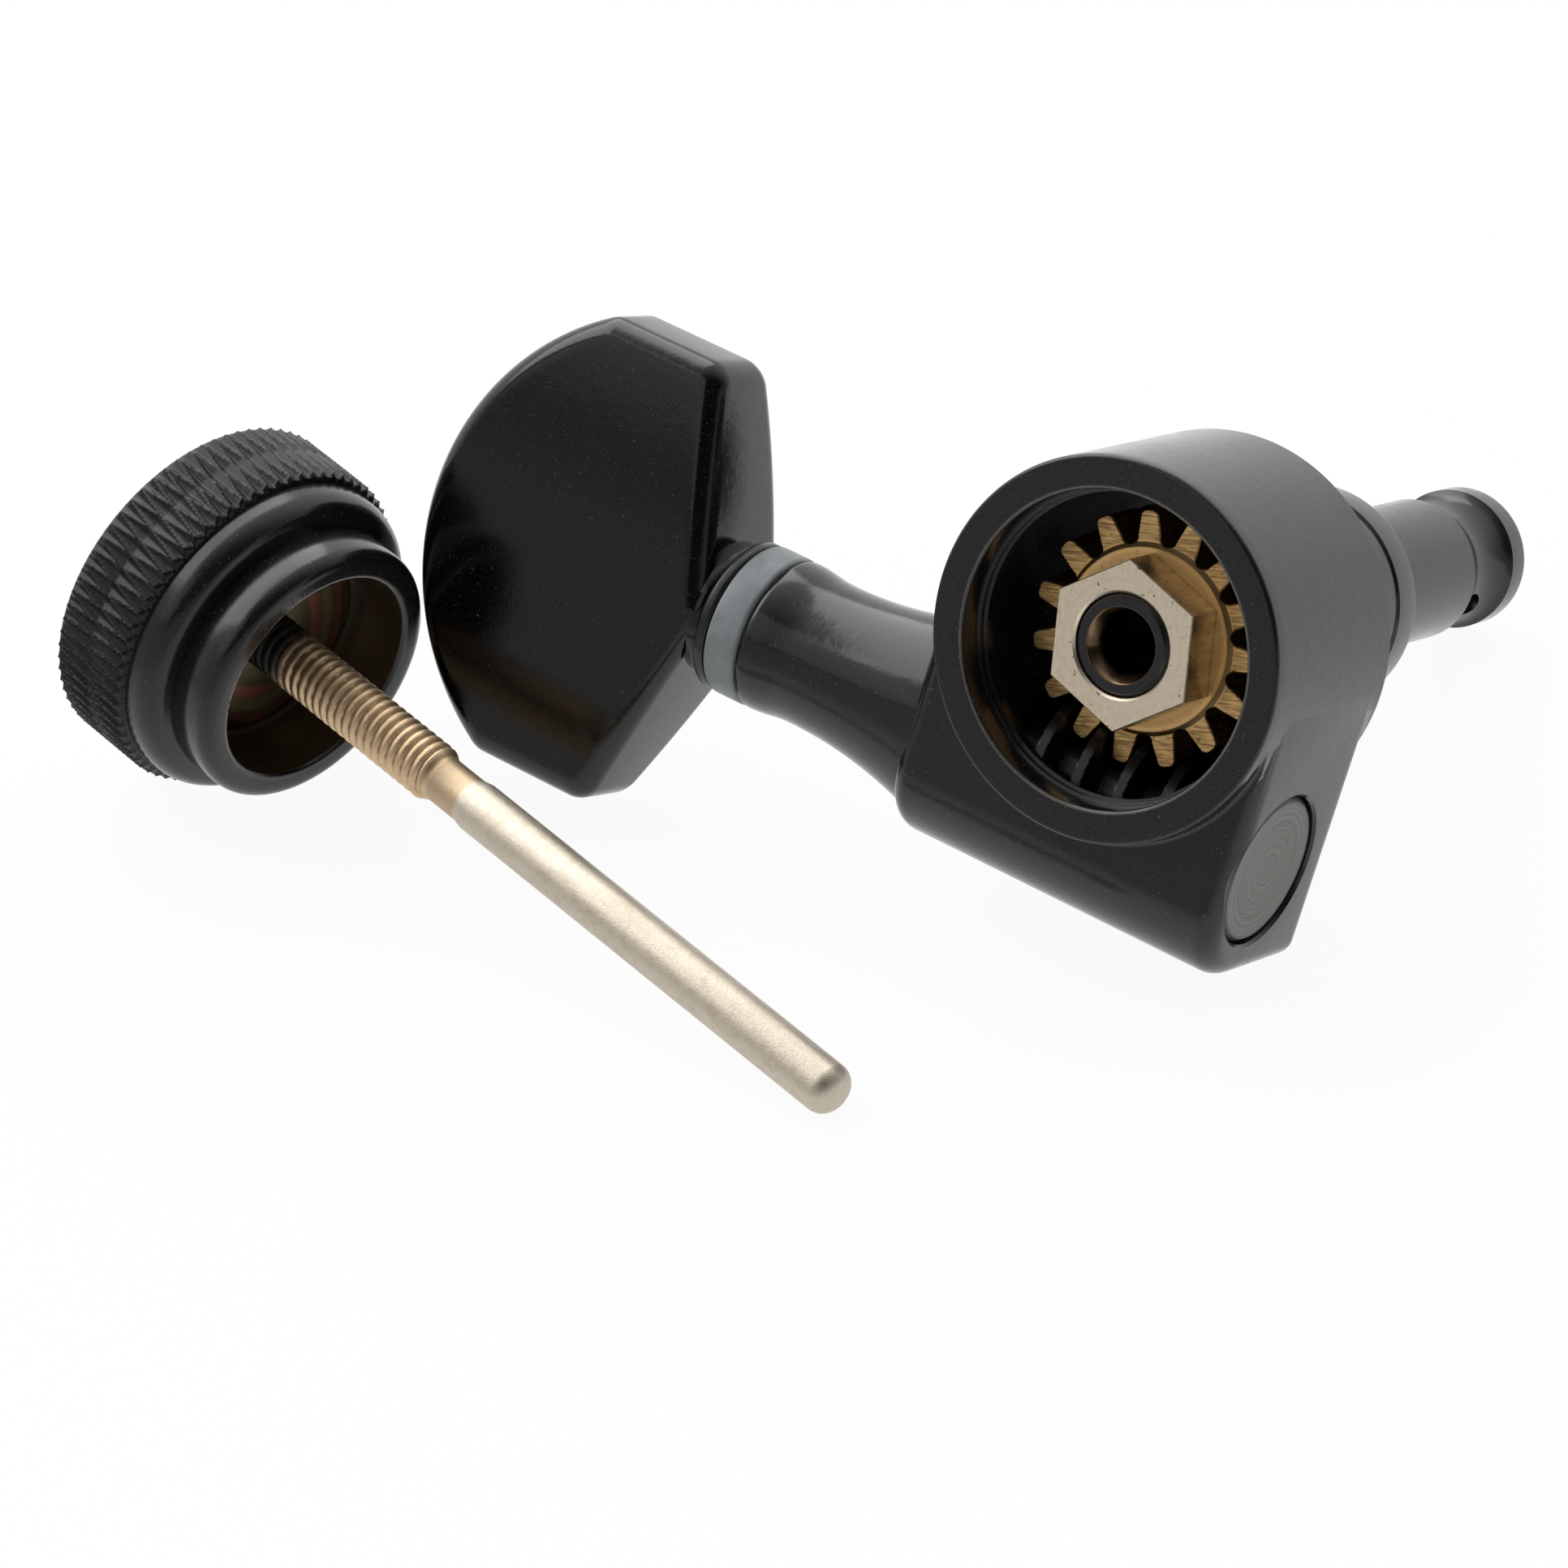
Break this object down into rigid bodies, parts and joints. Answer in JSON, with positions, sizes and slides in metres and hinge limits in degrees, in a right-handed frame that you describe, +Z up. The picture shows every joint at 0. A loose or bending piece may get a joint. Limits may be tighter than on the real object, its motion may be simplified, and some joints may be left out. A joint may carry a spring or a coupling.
{
  "type": "guitar tuning machine",
  "caption": "Locking tuning machine for a guitar: cup housing with worm, brass wheel, hollow string post and half-moon key, with its knurled locking screw taken out and lying beside it.",
  "frame": {"origin": "on the table, below the middle of the bounding box", "axes": "+Z up from the table, +X to the right and +Y away as the tuner is seen into its open cup"},
  "size_m": [0.062, 0.0368, 0.0221],
  "materials": {
    "black_paint": "gloss black paint on a zinc casting",
    "black_plate": "gloss black on turned metal",
    "dark_steel": "oiled dark steel",
    "brass": "cut brass with tool marks",
    "nickel": "warm nickel plate",
    "satin_grey": "satin dark grey with turning marks",
    "nylon": "matt grey nylon",
    "plated_yellow": "yellow iridescent plate"
  },
  "bodies": {
    "housing": {"housing": "black_paint", "end_plug": "satin_grey", "worm_thrust_washer": "nylon", "post_thrust_washer": "nylon"},
    "key": {"worm_shaft": "dark_steel", "nylon_washer": "nylon", "key_washer": "black_plate", "key_button": "black_paint", "key_screw": "black_plate"},
    "post": {"string_post": "black_plate", "worm_wheel": "brass", "wheel_nut": "nickel"},
    "locking_screw": {"thumb_wheel": "black_plate", "backing_disc": "plated_yellow", "locking_pin": "nickel"}
  },
  "joints": [
    {"name": "key_turn", "type": "hinge", "parent": "housing", "child": "key", "pos_m": [0.0123, -0.00631, 0.00686], "axis": [-0.801, 0.5863, 0.121], "continuous": true},
    {"name": "post_turn", "type": "hinge", "parent": "housing", "child": "post", "pos_m": [0.01709, -0.00068, 0.01127], "axis": [0.5076, 0.7723, -0.382], "continuous": true},
    {"name": "locking_screw_lift", "type": "slide", "parent": "housing", "child": "locking_screw", "axis": [0, 0, 1], "range_m": [0, 0.05]}
  ],
  "couplings": [
    {"joint": "post_turn", "follows": "key_turn", "ratio": -0.066667}
  ]
}
